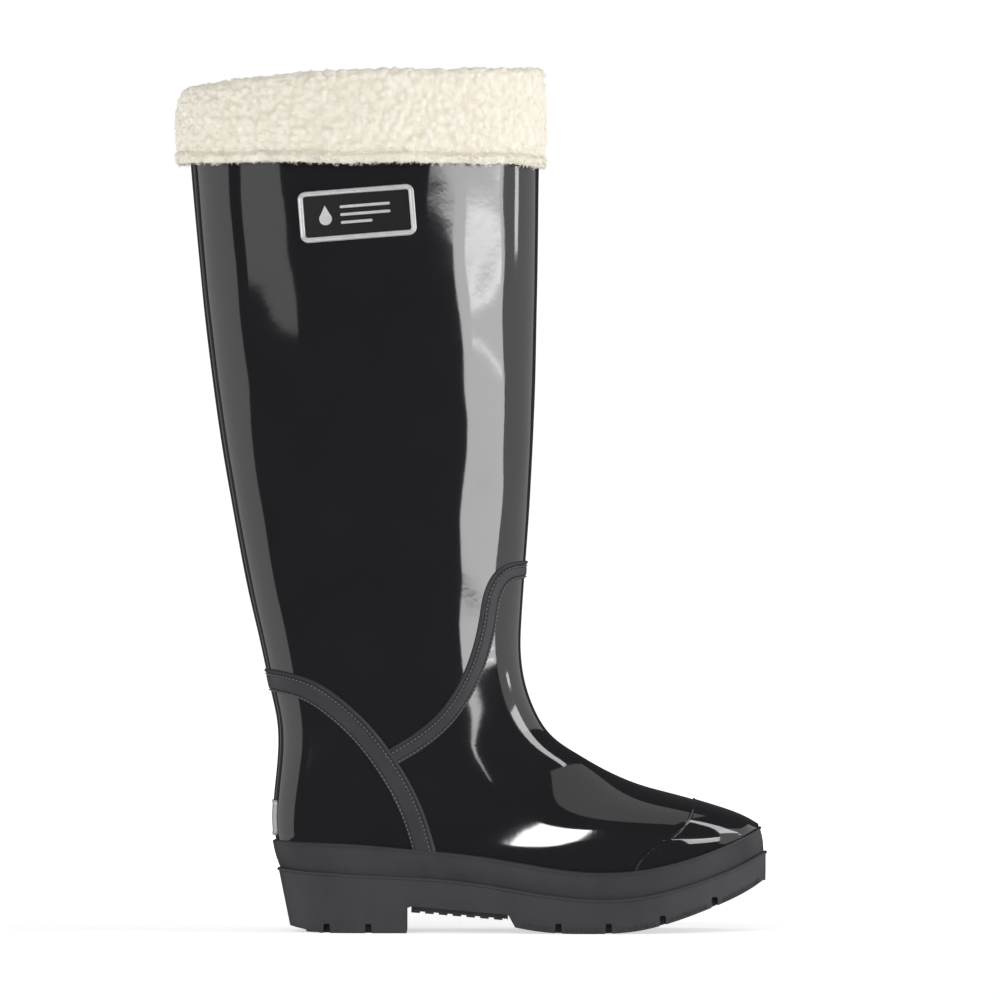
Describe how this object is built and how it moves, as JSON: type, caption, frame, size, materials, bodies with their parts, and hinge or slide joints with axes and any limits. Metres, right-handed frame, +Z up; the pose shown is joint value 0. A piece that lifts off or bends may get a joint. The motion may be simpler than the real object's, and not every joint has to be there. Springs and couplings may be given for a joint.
{
  "type": "lined tall rain boot",
  "caption": "Tall moulded waterproof riding and rain boot for the right foot, with moulded bands, a lugged heeled sole and a pull-out fleece liner folded into a cuff.",
  "frame": {"origin": "on the ground, under the middle of the boot's own box", "axes": "+X from heel to toe, +Z up the leg, -Y is the outer side of the right foot"},
  "size_m": [0.3202, 0.1176, 0.4646],
  "materials": {
    "gloss_shell": "high gloss",
    "matte_trim": "matte, fine grain",
    "sole_rubber": "matte, fine grain",
    "badge_silver": "silver print",
    "badge_black": "satin",
    "knit": "fine knit",
    "board": "pressed fibre",
    "foam": "closed-cell foam",
    "fleece": "nubby pile"
  },
  "bodies": {
    "boot": {"leg_shaft": "gloss_shell", "vamp": "gloss_shell", "heel_counter": "gloss_shell", "toe_cap": "gloss_shell", "leg_back_strip": "gloss_shell", "heel_back_strip": "gloss_shell", "vamp_band": "matte_trim", "counter_band": "matte_trim", "foxing_band": "matte_trim", "outsole": "sole_rubber", "heel_tread": "sole_rubber", "forefoot_tread": "sole_rubber", "arch_ribs": "sole_rubber", "badge_frame": "badge_silver", "badge_plate": "badge_black", "badge_motif": "badge_silver", "heel_badge_frame": "badge_silver", "heel_badge_plate": "badge_black", "knit_lining": "knit", "insole_board": "board"},
    "liner": {"liner_leg": "fleece", "liner_ankle_hem": "fleece", "fleece_cuff": "fleece", "cuff_hem": "fleece"},
    "footbed": {"footbed_foam": "foam", "footbed_plush": "fleece"}
  },
  "joints": [
    {"name": "liner_pull", "type": "slide", "parent": "boot", "child": "liner", "axis": [0, 0, 1], "range_m": [0, 0.31]},
    {"name": "footbed_lift", "type": "hinge", "parent": "boot", "child": "footbed", "pos_m": [0.15, 0, 0.044], "axis": [0, 1, 0], "range_deg": [0, 6]}
  ]
}
